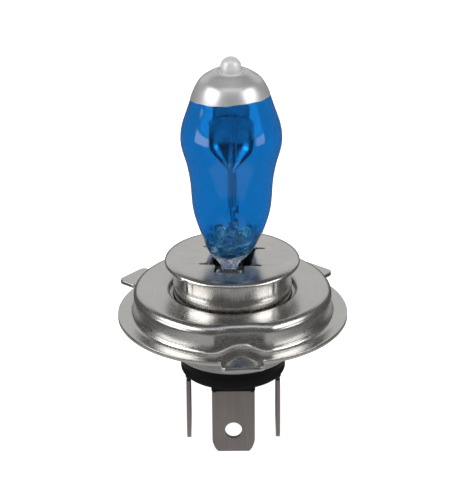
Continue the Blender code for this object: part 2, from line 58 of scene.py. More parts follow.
# Studio. Each card: name, azimuth and elevation in degrees, width, height, strength, distance.
CARDS = (
    ("left_low_card", -70, 2.5, 0.38, 0.145, 3.8, 0.5),
    ("right_low_card", 68, 2.5, 0.24, 0.135, 2.8, 0.5),
    ("left_high_card", -70, 36, 0.42, 0.27, 4.2, 0.5),
    ("right_high_card", 68, 36, 0.36, 0.27, 4.0, 0.5),
    ("back_card", 180, 28, 1.2, 0.5, 0.68, 0.6),
    ("top_card", 0, 68, 0.5, 0.26, 0.85, 0.5),
)
# Two small mats that the front of the base reflects from below: name, height, half size, strength.
MATS = (("ring_mat", -10.0 * MM, 0.042, 0.48), ("blade_mat", -25.4 * MM, 0.033, 0.9))
MAT_FORWARD = 0.024
# Cards that only the pieces inside the glass see, in the order of CARDS.
INNER_CARDS = (
    ("inner_card_1", -70, 18, 0.34, 0.5, 16.0, 0.52),
    ("inner_card_2", 68, 18, 0.34, 0.5, 16.0, 0.52),
)
CARD_FADE = 0.75
FLOOR_RADIUS = 2.6
FLOOR_GLOW = 1.0
BACKDROP_RADIUS = 2.5
OVERHEAD_PLACE = Vector((0.0, -0.15, 0.9))
OVERHEAD_SIZE = 0.9
OVERHEAD_POWER = 5.0
WORLD_STRENGTH = 0.10

# Focusing ring.
RING_SHEET = 0.8 * MM
FLANGE_RADIUS = 21.5 * MM
RING_WALL_RADIUS = 18.5 * MM
RING_TOP = 5.2 * MM
RING_SHOULDER = 1.5 * MM
RING_FILLET = 1.0 * MM
RING_LIP = 0.9 * MM
RING_HOLE_RADIUS = 11.7 * MM
RING_COLUMNS = 272
FRONT_LUG_TURN = radians(-85.7)
FRONT_LUG_COLUMNS = 8
BACK_LUG_COLUMNS = 6
BACK_LUG_STEP = round(RING_COLUMNS * 135 / 360)
FRONT_LUG_REACH = 24.5 * MM
FRONT_LUG_HALF_WIDTH = 3.95 * MM
FRONT_LUG_LIFT = 0.5 * MM
BACK_LUG_REACH = 25.9 * MM
BACK_LUG_HALF_WIDTH = 3.6 * MM
LUG_CORNER = 1.1 * MM
ARCH_RISE = 1.3 * MM
ARCH_HALF_WIDTH = 4.9 * MM
DENT_DEPTH = 1.3 * MM
DENT_HALF_WIDTH = 6.2 * MM

# Collar and base cup.
COLLAR_SHEET = 0.4 * MM
COLLAR_TOP = 11.25 * MM
COLLAR_RIM_RADIUS = 12.55 * MM
COLLAR_ROLL = Vector((1.9, 0.75)) * MM
COLLAR_HEM = 0.35 * MM
COLLAR_COLUMNS = 192
TUBE_RADIUS = 10.9 * MM
TUBE_END = 4.3 * MM
CUP_SHEET = 0.45 * MM
CUP_FLANGE_RADIUS = 15.5 * MM
CUP_FLANGE_TOP = 4.1 * MM
CUP_BOTTOM = -8.05 * MM
CUP_LIP_ROUND = 0.6 * MM

# The burner is turned a little against the base.
BURNER_TURN = radians(-5.5)
HOLE_HALF_WIDTH = 2.75 * MM
HOLE_HALF_LENGTH = 7.4 * MM
TONGUE_HALF_WIDTH = 3.65 * MM
SLIT_REACH = 5.75 * MM
SLIT_OUTER = 4.15 * MM
TONGUE_FLAT = 4.7 * MM
TONGUE_BEND = 1.25 * MM

# Insulator and terminals.
INSULATOR_RADIUS = 9.87 * MM
INSULATOR_NECK_RADIUS = 10.1 * MM
INSULATOR_TOP = -4.0 * MM
INSULATOR_STEP = -7.2 * MM
INSULATOR_BOTTOM = -11.92 * MM
INSULATOR_ROUND = 0.8 * MM
BOSS_HEIGHT = 0.53 * MM
BOSS_HALF = Vector((4.1, 0.9)) * MM
BOSS_CORNER = 0.4 * MM
SIDE_BOSS_HALF = Vector((3.4, 0.55)) * MM
BLADE_HALF_WIDTH = 4.0 * MM
BLADE_THICKNESS = 0.8 * MM
BLADE_BOTTOM = -25.4 * MM
BLADE_CORNER = Vector((1.05, 2.2)) * MM
BLADE_TOP = -12.75 * MM
TANG_HALF_WIDTH = 3.2 * MM
TANG_TOP = -3.0 * MM
BLADE_HOLE_RADIUS = 1.6 * MM
BLADE_HOLE_RISE = 4.5 * MM
FRONT_BLADE_OFFSET = 8.15 * MM
SIDE_BLADE_OFFSET = 8.45 * MM

# Quartz: height, half-thickness along X, half-width along Y.
QUARTZ_STATIONS = (
    (1.5, 1.5, 6.3), (6.5, 1.5, 6.3), (11.4, 1.55, 6.35), (12.8, 2.2, 6.55), (14.0, 3.68, 6.75),
    (15.5, 5.2, 6.95), (18.0, 6.28, 7.15), (21.5, 7.2, 7.38), (26.5, 7.6, 7.6), (30.0, 8.2, 8.2),
    (33.0, 9.03, 9.03), (35.0, 9.28, 9.28), (37.5, 8.97, 8.97), (41.0, 7.83, 7.83),
    (44.0, 6.82, 6.82), (46.0, 5.68, 5.68), (47.0, 4.45, 4.45), (47.65, 3.4, 3.4), (47.75, 2.9, 2.9),
    (47.5, 2.35, 2.35), (47.25, 1.8, 1.8), (47.2, 0.02, 0.02),
)
BODY_BOTTOM = 11.45 * MM
PINCH_TOP = 11.4 * MM
COATING_END = 13.5 * MM
COATING_RISE = 0.35
COATING_SIDE = 2.2 * MM
CRINKLE_END = 18.0 * MM
QUARTZ_WALL = 0.9 * MM
CAVITY_BOTTOM = 12.7 * MM
CAVITY_FLOOR_RINGS = 13.5 * MM
QUARTZ_COLUMNS = 96
PAINT_FILM = 0.05 * MM
PAINT_HEIGHT = 42.95 * MM
PAINT_SLOPE_X = 0.065
PAINT_SLOPE_Y = -0.10
NOSE_INNER_TOP = 47.0 * MM
QUARTZ_IOR = 1.46

# Inside the quartz. Stations of the shield: height, half-width, depth.
FOIL_SPACING = 3.9 * MM
LEAD_RADIUS = 0.3 * MM
BRIDGE_HALF = Vector((0.95, 5.0, 1.0)) * MM
BRIDGE_MIDDLE = 16.4 * MM
BRIDGE_STEPS = 24
SHIELD_SHEET = 0.14 * MM
SHIELD_COLUMNS = 28
LOW_COIL_WIRE = 0.1 * MM
HIGH_COIL_WIRE = 0.07 * MM
SHIELD_STATIONS = (
    (28.6, 0.70, 0.35), (29.6, 1.75, 1.00), (31.0, 3.10, 1.90), (32.7, 4.05, 2.60),
    (35.3, 4.20, 2.80), (38.0, 4.15, 2.70), (38.5, 3.45, 2.30), (41.6, 3.45, 2.10),
)


# Helpers --------------------------------------


def blend(low, high, value):
    """0 below low, 1 above high, smooth between."""
    t = min(1.0, max(0.0, (value - low) / (high - low)))
    return t * t * (3 - 2 * t)


def arc(centre_r, centre_z, radius, start, end, pieces=8):
    angles = [radians(start + (end - start) * i / pieces) for i in range(pieces + 1)]
    return [(centre_r + radius * cos(a), centre_z + radius * sin(a)) for a in angles]


def smooth_route(points, per_span=6):
    """Points on a smooth curve through the given ones."""
    points = [Vector(p) for p in points]
    ends = [2 * points[0] - points[1], *points, 2 * points[-1] - points[-2]]
    route = []
    for a, b, c, d in zip(ends, ends[1:], ends[2:], ends[3:]):
        for step in range(per_span):
            t = step / per_span
            route.append(
                0.5 * (2 * b + (c - a) * t + (2 * a - 5 * b + 4 * c - d) * t * t
                       + (3 * b - a - 3 * c + d) * t ** 3)
            )
    return [*route, points[-1]]


def add_object(name, bm, surface, sharp=radians(35)):
    mesh = bpy.data.meshes.new(name)
    bm.to_mesh(mesh)
    bm.free()
    mesh.shade_smooth()
    mesh.set_sharp_from_angle(angle=sharp)
    mesh.materials.append(surface)
    obj = bpy.data.objects.new(name, mesh)
    bpy.context.scene.collection.objects.link(obj)
    return obj


def thicken(obj, thickness):
    solidify = obj.modifiers.new("Sheet", "SOLIDIFY")
    solidify.thickness = thickness
    solidify.offset = -1.0
    solidify.use_even_offset = True


def soften(obj, width, segments=2, limit=radians(50)):
    bevel = obj.modifiers.new("Edges", "BEVEL")
    bevel.width = width
    bevel.segments = segments
    bevel.limit_method = "ANGLE"
    bevel.angle_limit = limit
    bevel.harden_normals = False


def cut(obj, cutter):
    modifier = obj.modifiers.new("Cut", "BOOLEAN")
    modifier.operation = "DIFFERENCE"
    modifier.object = cutter
    cutter.hide_render = True
    cutter.display_type = "WIRE"


def apply_modifiers(obj):
    """The evaluated mesh becomes the object's own, so that no helper has to stay."""
    graph = bpy.context.evaluated_depsgraph_get()
    mesh = bpy.data.meshes.new_from_object(obj.evaluated_get(graph))
    obj.modifiers.clear()
    obj.data = mesh


def place(obj, slot, *nodes):
    """The piece rides on the only body and stands for its CAD nodes."""
    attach(obj, "root")
    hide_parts(*nodes)


def turned_grid(bm, path, columns, first_turn=0.0):
    """A path of (r, z) turned about Z. An outward path faces up, a downward path faces out."""
    grid = []
    for r, z in path:
        turns = [first_turn + tau * c / columns for c in range(columns)]
        grid.append([bm.verts.new((r * cos(a), r * sin(a), z)) for a in turns])
    for inner, outer in zip(grid, grid[1:]):
        for c in range(columns):
            n = (c + 1) % columns
            bm.faces.new((inner[c], outer[c], outer[n], inner[n]))
    return grid


def loft(bm, rings, cap_start=True, cap_end=True):
    made = [[bm.verts.new(point) for point in ring] for ring in rings]
    for lower, upper in zip(made, made[1:]):
        count = len(lower)
        for c in range(count):
            n = (c + 1) % count
            bm.faces.new((lower[c], lower[n], upper[n], upper[c]))
    if cap_start:
        bm.faces.new(list(reversed(made[0])))
    if cap_end:
        bm.faces.new(made[-1])
    return made


def rectangle(half_x, half_y, z, middle=(0.0, 0.0)):
    corners = ((-1, -1), (1, -1), (1, 1), (-1, 1))
    return [(middle[0] + sx * half_x, middle[1] + sy * half_y, z) for sx, sy in corners]


def turn_burner(obj):
    obj.rotation_euler.z = BURNER_TURN


def add_wire(name, points, radius, surface, on_burner=True):
    curve = bpy.data.curves.new(name, "CURVE")
    curve.dimensions = "3D"
    curve.bevel_depth = radius
    curve.bevel_resolution = 3
    curve.use_fill_caps = True
    spline = curve.splines.new("POLY")
    spline.points.add(len(points) - 1)
    for slot, point in zip(spline.points, points):
        slot.co = (*point, 1.0)
    curve.materials.append(surface)
    obj = bpy.data.objects.new(name, curve)
    bpy.context.scene.collection.objects.link(obj)
    if on_burner:
        turn_burner(obj)
    return obj


# Materials ------------------------------------


def new_material(name):
    made = bpy.data.materials.new(name)
    made.use_nodes = True
    return made, made.node_tree, made.node_tree.nodes["Principled BSDF"]


def math_node(tree, operation, a, b=0.0):
    node = tree.nodes.new("ShaderNodeMath")
    node.operation = operation
    for socket, value in zip(node.inputs, (a, b)):
        if isinstance(value, (int, float)):
            socket.default_value = value
        else:
            tree.links.new(value, socket)
    return node.outputs[0]


def place_coordinates(tree):
    """The point's own place on the part, in metres."""
    return tree.nodes.new("ShaderNodeTexCoord").outputs["Object"]


def split_place(tree):
    """X, Y and Z of that place."""
    split = tree.nodes.new("ShaderNodeSeparateXYZ")
    tree.links.new(place_coordinates(tree), split.inputs[0])
    return split.outputs


def turned_coordinates(tree):
    """Arc length round a 15 mm circle, distance from the axis, and height."""
    x, y, z = split_place(tree)
    turn = math_node(tree, "ARCTAN2", y, x)
    across = math_node(tree, "MULTIPLY", x, x)
    along = math_node(tree, "MULTIPLY", y, y)
    reach = math_node(tree, "SQRT", math_node(tree, "ADD", across, along))
    joined = tree.nodes.new("ShaderNodeCombineXYZ")
    tree.links.new(math_node(tree, "MULTIPLY", turn, 0.015), joined.inputs[0])
    tree.links.new(reach, joined.inputs[1])
    tree.links.new(z, joined.inputs[2])
    return joined.outputs[0]


def noise(tree, coordinates, per_metre, detail=3.0, roughness=0.55):
    """Noise whose cells per metre may differ along the three coordinates."""
    mapping = tree.nodes.new("ShaderNodeMapping")
    mapping.inputs["Scale"].default_value = per_metre
    tree.links.new(coordinates, mapping.inputs["Vector"])
    texture = tree.nodes.new("ShaderNodeTexNoise")
    texture.inputs["Scale"].default_value = 1.0
    texture.inputs["Detail"].default_value = detail
    texture.inputs["Roughness"].default_value = roughness
    tree.links.new(mapping.outputs[0], texture.inputs["Vector"])
    return texture.outputs["Fac"]


def between(tree, factor, low, high, start=0.3, end=0.7):
    node = tree.nodes.new("ShaderNodeMapRange")
    node.inputs["From Min"].default_value = start
    node.inputs["From Max"].default_value = end
    node.inputs["To Min"].default_value = low
    node.inputs["To Max"].default_value = high
    tree.links.new(factor, node.inputs["Value"])
    return node.outputs["Result"]


def colour_mix(tree, factor, low, high):
    node = tree.nodes.new("ShaderNodeMix")
    node.data_type = "RGBA"
    tree.links.new(factor, node.inputs["Factor"])
    for socket, value in zip((node.inputs[6], node.inputs[7]), (low, high)):
        if isinstance(value, tuple):
            socket.default_value = (*value, 1.0)
        else:
            tree.links.new(value, socket)
    return node.outputs[2]


def bump(tree, height, distance, strength=1.0, below=None):
    node = tree.nodes.new("ShaderNodeBump")
    node.inputs["Strength"].default_value = strength
    node.inputs["Distance"].default_value = distance
    tree.links.new(height, node.inputs["Height"])
    if below is not None:
        tree.links.new(below, node.inputs["Normal"])
    return node.outputs["Normal"]


def shared(tree, a, b, share):
    """A mean of a and b, in which a has this share."""
    rest = math_node(tree, "MULTIPLY", b, 1 - share)
    return math_node(tree, "ADD", math_node(tree, "MULTIPLY", a, share), rest)


def dress(tree, shader, colour, roughness, normal):
    for socket, value in (("Base Color", colour), ("Roughness", roughness), ("Normal", normal)):
        if value is not None:
            tree.links.new(value, shader.inputs[socket])


def make_clear(shader, transmission=1.0):
    shader.inputs["Transmission Weight"].default_value = transmission
    shader.inputs["IOR"].default_value = QUARTZ_IOR


def worked_metal(
    name, dark, light, smooth, rough, streaks, streak_depth, coordinates=turned_coordinates, streak_top=None
):
    """Metal with streaks along one direction, cloudy colour and roughness, and fine pits.

    Above streak_top, where it is given, the streaks nearly vanish."""
    made, tree, shader = new_material(name)
    place_of = place_coordinates(tree)
    clouds = noise(tree, place_of, (160.0, 160.0, 160.0), 4.0)
    lines = noise(tree, coordinates(tree), streaks, 2.0, 0.6)
    if streak_top:
        fade = (streak_top - 0.3 * MM, streak_top + 0.3 * MM)
        share = between(tree, split_place(tree)["Z"], 1.0, 0.15, *fade)
        swing = math_node(tree, "MULTIPLY", math_node(tree, "SUBTRACT", lines, 0.5), share)
        lines = math_node(tree, "ADD", swing, 0.5)
    pits = noise(tree, place_of, (2600.0, 2600.0, 2600.0), 2.0)
    shade = shared(tree, clouds, lines, 0.5)
    colour = colour_mix(tree, between(tree, shade, 0.0, 1.0, 0.35, 0.65), dark, light)
    roughness = between(tree, shade, smooth, rough, 0.35, 0.65)
    fine = bump(tree, pits, 0.004 * MM, 0.5)
    dress(tree, shader, colour, roughness, bump(tree, lines, streak_depth, 1.0, fine))
    shader.inputs["Metallic"].default_value = 1.0
    return made


def make_moulding():
    made, tree, shader = new_material("black_moulding")
    grain = noise(tree, place_coordinates(tree), (1500.0, 1500.0, 1500.0), 3.0)
    clouds = noise(tree, place_coordinates(tree), (220.0, 220.0, 220.0), 3.0)
    black = colour_mix(tree, clouds, (0.002, 0.002, 0.002), (0.005, 0.005, 0.005))
    dress(tree, shader, black, between(tree, clouds, 0.38, 0.58), bump(tree, grain, 0.02 * MM, 0.5))
    shader.inputs["Specular IOR Level"].default_value = 0.08
    return made


def make_quartz():
    """Outer face: a blue coating that ends in a point over the pinch, and bare crinkled quartz below it.

    The blue is what light keeps after it has passed two coated faces."""
    made, tree, shader = new_material("blue_quartz")
    place_of = place_coordinates(tree)
    x, _, z = split_place(tree)
    aside = math_node(tree, "MINIMUM", math_node(tree, "ABSOLUTE", x), COATING_SIDE)
    height = math_node(tree, "SUBTRACT", z, math_node(tree, "MULTIPLY", aside, COATING_RISE))
    bare = between(tree, height, 1.0, 0.0, COATING_END - 0.12 * MM, COATING_END + 0.12 * MM)
    clouds = noise(tree, place_of, (90.0, 90.0, 90.0), 3.0)
    blue = colour_mix(tree, clouds, (0.0010, 0.085, 0.29), (0.0020, 0.110, 0.34))
    colour = colour_mix(tree, bare, blue, (0.72, 0.80, 0.98))
    ripple = noise(tree, place_of, (260.0, 260.0, 120.0), 2.0)
    crinkle = noise(tree, place_of, (1300.0, 1300.0, 450.0), 3.0, 0.65)
    squeezed = between(tree, z, 0.3, 0.0, COATING_END, CRINKLE_END)
    amount = math_node(tree, "MAXIMUM", bare, squeezed)
    wrinkles = bump(tree, math_node(tree, "MULTIPLY", crinkle, amount), 0.5 * MM, 1.0)
    roughness = between(tree, bare, 0.03, 0.14, 0.0, 1.0)
    dress(tree, shader, colour, roughness, bump(tree, ripple, 0.01 * MM, 0.5, wrinkles))
    make_clear(shader)
    return made


def make_cavity_quartz():
    """The bare inner face of the same quartz."""
    made, tree, shader = new_material("cavity_quartz")
    ripple = noise(tree, place_coordinates(tree), (200.0, 200.0, 90.0), 2.0)
    colour = colour_mix(tree, ripple, (0.97, 0.97, 0.98), (1.0, 1.0, 1.0))
    squeezed = between(tree, split_place(tree)["Z"], 1.0, 0.0, CAVITY_BOTTOM + MM, CRINKLE_END + MM)
    bubbles = noise(tree, place_coordinates(tree), (900.0, 900.0, 700.0), 2.0)
    wrinkles = bump(tree, math_node(tree, "MULTIPLY", bubbles, squeezed), 0.7 * MM, 1.0)
    dress(tree, shader, colour, None, bump(tree, ripple, 0.01 * MM, 0.4, wrinkles))
    shader.inputs["Roughness"].default_value = 0.02
    make_clear(shader)
    return made


def make_pinch_quartz():
    """Clear quartz, crinkled and a little milky where the jaws squeezed it."""
    made, tree, shader = new_material("pinch_quartz")
    place_of = place_coordinates(tree)
    crinkle = noise(tree, place_of, (1100.0, 1100.0, 380.0), 3.0, 0.65)
    milk = colour_mix(tree, crinkle, (0.55, 0.57, 0.62), (0.95, 0.96, 0.99))
    dress(tree, shader, milk, between(tree, crinkle, 0.05, 0.25), bump(tree, crinkle, 0.35 * MM, 1.0))
    make_clear(shader, 0.72)
    return made


def make_clear_quartz():
    made, tree, shader = new_material("clear_quartz")
    clouds = noise(tree, place_coordinates(tree), (400.0, 400.0, 400.0), 3.0)
    colour = colour_mix(tree, clouds, (0.86, 0.89, 0.95), (0.95, 0.96, 0.98))
    dress(tree, shader, colour, between(tree, clouds, 0.03, 0.12), bump(tree, clouds, 0.05 * MM, 0.6))
    make_clear(shader)
    return made


def make_paint(name, dark, light, metallic):
    made, tree, shader = new_material(name)
    place_of = place_coordinates(tree)
    flakes = noise(tree, place_of, (3000.0, 3000.0, 3000.0), 2.0)
    clouds = noise(tree, place_of, (130.0, 130.0, 130.0), 4.0)
    shade = shared(tree, clouds, flakes, 0.7)
    colour = colour_mix(tree, between(tree, shade, 0.0, 1.0, 0.35, 0.65), dark, light)
    roughness = between(tree, shade, 0.28, 0.36, 0.35, 0.65)
    dress(tree, shader, colour, roughness, bump(tree, clouds, 0.03 * MM, 0.4))
    shader.inputs["Metallic"].default_value = metallic
    return made


def make_metals():
    """Steel of the base, tinned blades, and the metals inside the quartz. Streaks are in cells per metre."""
    even = (300.0, 300.0, 300.0)
    return {
        "ring_steel": worked_metal(
            "ring_steel", (0.57, 0.56, 0.54), (0.65, 0.64, 0.62), 0.22, 0.30,
            (110.0, 2600.0, 2600.0), 0.0015 * MM,
        ),
        "collar_steel": worked_metal(
            "collar_steel", (0.55, 0.53, 0.51), (0.72, 0.70, 0.68), 0.20, 0.30,
            (5200.0, 500.0, 240.0), 0.005 * MM, streak_top=10.2 * MM,
        ),
        "cup_steel": worked_metal(
            "cup_steel", (0.34, 0.33, 0.32), (0.48, 0.47, 0.46), 0.18, 0.30,
            (130.0, 1500.0, 2400.0), 0.010 * MM,
        ),
        "tinned_blade": worked_metal(
            "tinned_blade", (0.16, 0.142, 0.136), (0.22, 0.20, 0.19), 0.36, 0.52,
            (2400.0, 2400.0, 130.0), 0.012 * MM, place_coordinates,
        ),
        "molybdenum": worked_metal(
            "molybdenum", (0.44, 0.45, 0.48), (0.58, 0.59, 0.62), 0.10, 0.18,
            even, 0.003 * MM, place_coordinates,
        ),
        "shield_metal": worked_metal(
            "shield_metal", (0.60, 0.61, 0.63), (0.74, 0.75, 0.77), 0.20, 0.32,
            even, 0.002 * MM, place_coordinates,
        ),
        "tungsten": worked_metal(
            "tungsten", (0.75, 0.76, 0.78), (0.90, 0.90, 0.92), 0.30, 0.45,
            (1500.0, 1500.0, 1500.0), 0.004 * MM, place_coordinates,
        ),
    }


def make_materials():
    return {
        **make_metals(),
        "black_moulding": make_moulding(),
        "blue_quartz": make_quartz(),
        "cavity_quartz": make_cavity_quartz(),
        "pinch_quartz": make_pinch_quartz(),
        "clear_quartz": make_clear_quartz(),
        "silver_paint": make_paint("silver_paint", (0.66, 0.66, 0.67), (0.76, 0.76, 0.77), 0.55),
        # The nub has the dome's silver paint. This copy is made near white and less metallic, as a painted
        # highlight for the light the nub catches.
        "tip_paint_with_painted_highlight": make_paint("tip_paint_with_painted_highlight", (0.90, 0.90, 0.91), (0.96, 0.96, 0.97), 0.1),
    }


# Focusing ring --------------------------------


def ring_path():
    lip = arc(RING_HOLE_RADIUS + RING_LIP, RING_TOP - RING_LIP, RING_LIP, 180, 90)
    top = [(r * MM, RING_TOP) for r in (13.2, 13.9, 14.6, 15.3, 16.0, 16.7)]
    shoulder = arc(RING_WALL_RADIUS - RING_SHOULDER, RING_TOP - RING_SHOULDER, RING_SHOULDER, 90, 0, 10)
    wall = [(RING_WALL_RADIUS, RING_TOP * share) for share in (0.66, 0.55, 0.45, 0.34, 0.25)]
    fillet = arc(RING_WALL_RADIUS + RING_FILLET, RING_FILLET, RING_FILLET, 180, 270, 10)
    flange = [(r * MM, 0.0) for r in (20.0, 20.5, 21.0)]
    return lip + top + shoulder + wall + fillet + flange + [(FLANGE_RADIUS, 0.0)]


def front_axes():
    along = Vector((cos(FRONT_LUG_TURN), sin(FRONT_LUG_TURN), 0))
    across = Vector((-sin(FRONT_LUG_TURN), cos(FRONT_LUG_TURN), 0))
    return along, across


def shape_front(vert):
    """Over the front lug the wall is pressed inwards and the foot of the wall arches up."""
    along, across = front_axes()
    forward = vert.co.dot(along)
    side = vert.co.dot(across)
    if forward < 0:
        return
    reach = hypot(vert.co.x, vert.co.y)
    dent = 1 - blend(0.2 * DENT_HALF_WIDTH, DENT_HALF_WIDTH, abs(side))
    dent *= blend(13.6 * MM, 16.9 * MM, reach) * (1 - blend(18.9 * MM, 20.8 * MM, reach))
    crown = 0.0
    if abs(side) < ARCH_HALF_WIDTH:
        crown = ARCH_RISE * cos(pi * side / (2 * ARCH_HALF_WIDTH)) ** 2
    height = vert.co.z
    vert.co -= along * (DENT_DEPTH * dent)
    vert.co.z += crown * (1 - blend(RING_FILLET, RING_TOP - RING_SHOULDER, height))


def add_lug(bm, rim, middle, columns, turn, reach, half_width, lift):
    """The flange's edge drawn outwards between two columns, with rounded corners."""
    along = Vector((cos(turn), sin(turn), 0))
    across = Vector((-sin(turn), cos(turn), 0))
    spread = range(-columns, columns + 1)
    inner = [rim[(middle + c) % RING_COLUMNS] for c in spread]
    length = reach - FLANGE_RADIUS
    for share in (0.15, 0.3, 0.45, 0.6, 0.72, 0.8, 0.87, 0.93, 0.97, 1.0):
        to_tip = length * (1 - share)
        inset = 0.0
        if to_tip < LUG_CORNER:
            inset = LUG_CORNER - sqrt(LUG_CORNER ** 2 - (LUG_CORNER - to_tip) ** 2)
        width = half_width - inset
        outer = []
        for c in spread:
            side = c / columns
            distance = FLANGE_RADIUS + length * share
            base = FLANGE_RADIUS * cos(asin(side * half_width / FLANGE_RADIUS))
            distance -= (FLANGE_RADIUS - base) * (1 - blend(0.0, 0.6, share))
            rise = lift * share
            if lift:
                crown = ARCH_RISE * cos(pi * side * width / (2 * ARCH_HALF_WIDTH)) ** 2
                rise += crown * (1 - blend(0.0, 1.0, share))
            point = along * distance + across * (side * width) + Vector((0, 0, rise))
            outer.append(bm.verts.new(point))
        for c in range(len(inner) - 1):
            bm.faces.new((inner[c], outer[c], outer[c + 1], inner[c + 1]))
        inner = outer


def make_ring(surface):
    bm = bmesh.new()
    grid = turned_grid(bm, ring_path(), RING_COLUMNS, FRONT_LUG_TURN)
    for vert in bm.verts:
        shape_front(vert)
    rim = grid[-1]
    front = (FRONT_LUG_TURN, FRONT_LUG_REACH, FRONT_LUG_HALF_WIDTH, FRONT_LUG_LIFT)
    add_lug(bm, rim, 0, FRONT_LUG_COLUMNS, *front)
    for side in (-1, 1):
        middle = side * BACK_LUG_STEP
        turn = FRONT_LUG_TURN + tau * middle / RING_COLUMNS
        add_lug(bm, rim, middle, BACK_LUG_COLUMNS, turn, BACK_LUG_REACH, BACK_LUG_HALF_WIDTH, 0.0)
    ring = add_object("ring_pressing", bm, surface)
    thicken(ring, RING_SHEET)
    soften(ring, 0.14 * MM)
    place(ring, "ring_steel", "focus_ring")


# Collar and base cup --------------------------


def collar_path():
    """A hemmed rim that rolls down early, a fillet under it, and a tube with a slightly wider foot."""
    roll_start = COLLAR_RIM_RADIUS - COLLAR_ROLL.x
    middle = COLLAR_TOP - COLLAR_ROLL.y
    turns = [radians(90 - 90 * step / 12) for step in range(13)]
    roll = [(roll_start + COLLAR_ROLL.x * cos(t), middle + COLLAR_ROLL.y * sin(t)) for t in turns]
    hem = arc(COLLAR_RIM_RADIUS - COLLAR_HEM, middle - 0.05 * MM, COLLAR_HEM, 0, -90)
    under = middle - 0.05 * MM - COLLAR_HEM
    fillet = arc(TUBE_RADIUS + 0.5 * MM, under - 0.5 * MM, 0.5 * MM, 90, 180)
    foot = [
        (TUBE_RADIUS, 7.4 * MM), (TUBE_RADIUS, 6.7 * MM), (TUBE_RADIUS + 0.10 * MM, 6.45 * MM),
        (TUBE_RADIUS + 0.14 * MM, 6.2 * MM), (TUBE_RADIUS + 0.14 * MM, TUBE_END),
    ]
    return [*roll, *hem, *fillet, *foot]


def hole_outline():
    """The disc's opening without its two side tongues, counterclockwise, as (x, y)."""
    root = [(SLIT_REACH, TONGUE_HALF_WIDTH * step / 6) for step in range(-6, 7)]
    right = [
        (HOLE_HALF_WIDTH, -HOLE_HALF_LENGTH), (HOLE_HALF_WIDTH, -SLIT_OUTER), (SLIT_REACH, -SLIT_OUTER),
        *root, (SLIT_REACH, SLIT_OUTER), (HOLE_HALF_WIDTH, SLIT_OUTER), (HOLE_HALF_WIDTH, HOLE_HALF_LENGTH),
    ]
    return right + [(-x, -y) for x, y in right]


def rim_crimps(vert):
    """Two small dents where the disc's hem was pinched."""
    if vert.co.z > COLLAR_TOP - COLLAR_ROLL.y or vert.co.z < COLLAR_TOP - 2.2 * MM:
        return
    reach = hypot(vert.co.x, vert.co.y)
    turn = atan2(vert.co.y, vert.co.x)
    for middle, push in ((radians(-138), 0.35 * MM), (radians(-49), 0.28 * MM)):
        off = (turn - middle) / radians(4.0)
        lump = push * exp(-off * off) * cos(off * 3.0)
        vert.co.x += vert.co.x / reach * lump
        vert.co.y += vert.co.y / reach * lump


def add_tongue(bm, root, side):
    """A side tongue: flat with the disc at first, then bent down towards the quartz."""
    inner = root
    steps = [(SLIT_REACH - 0.4 * MM, 0.0), (TONGUE_FLAT, 0.0)]
    for step in range(1, 9):
        angle = radians(78) * step / 8
        steps.append((TONGUE_FLAT - TONGUE_BEND * sin(angle), TONGUE_BEND * (1 - cos(angle))))
    for x, down in steps:
        outer = [bm.verts.new((side * x, vert.co.y, COLLAR_TOP - down)) for vert in root]
        for c in range(len(root) - 1):
            bm.faces.new((inner[c], inner[c + 1], outer[c + 1], outer[c]))
        inner = outer


def add_grip(bm, x, y, turn):
    """A small curled tab that holds the edge of the pinch."""
    rows = []
    for step in range(8):
        angle = radians(10 + 17 * step)
        out = 0.75 * MM * cos(angle)
        down = -0.15 * MM - 0.95 * MM * (1 - sin(angle)) * 0.9
        row = []
        for share in (-1, -0.4, 0.4, 1):
            point = Vector((out, share * 0.55 * MM, 0))
            point.rotate(Matrix.Rotation(turn, 3, "Z"))
            row.append(bm.verts.new((x + point.x, y + point.y, COLLAR_TOP + down)))
        rows.append(row)
    for lower, upper in zip(rows, rows[1:]):
        for c in range(3):
            bm.faces.new((lower[c], lower[c + 1], upper[c + 1], upper[c]))


def make_collar(surface):
    bm = bmesh.new()
    grid = turned_grid(bm, collar_path(), COLLAR_COLUMNS)
    for vert in bm.verts:
        rim_crimps(vert)
    turn = Matrix.Rotation(BURNER_TURN, 4, "Z")
    outline = [bm.verts.new((x, y, COLLAR_TOP)) for x, y in hole_outline()]
    edges = [bm.edges.new((a, b)) for a, b in zip(outline, outline[1:] + outline[:1])]
    bmesh.ops.transform(bm, matrix=turn, verts=outline)
    rim_edges = [bm.edges.get((a, b)) for a, b in zip(grid[0], grid[0][1:] + grid[0][:1])]
    bmesh.ops.triangle_fill(bm, use_beauty=True, use_dissolve=False, edges=edges + rim_edges)
    bmesh.ops.recalc_face_normals(bm, faces=bm.faces)
    bmesh.ops.transform(bm, matrix=turn.inverted(), verts=outline)
    before = set(bm.verts)
    half = len(outline) // 2
    add_tongue(bm, outline[3:16], 1)
    add_tongue(bm, outline[half + 3:half + 16], -1)
    for side in (-1, 1):
        for end in (-1, 1):
            add_grip(bm, side * 1.9 * MM, end * 6.2 * MM, 0.0 if side > 0 else pi)
    new = [vert for vert in bm.verts if vert not in before]
    bmesh.ops.transform(bm, matrix=turn, verts=outline + new)
    bmesh.ops.recalc_face_normals(bm, faces=bm.faces)
    if sum(face.normal.z * face.calc_area() for face in bm.faces) < 0:
        bmesh.ops.reverse_faces(bm, faces=bm.faces)
    collar = add_object("collar_pressing", bm, surface, radians(30))
    thicken(collar, COLLAR_SHEET)
    soften(collar, 0.06 * MM)
    place(collar, "collar_steel", "bulb_collar")


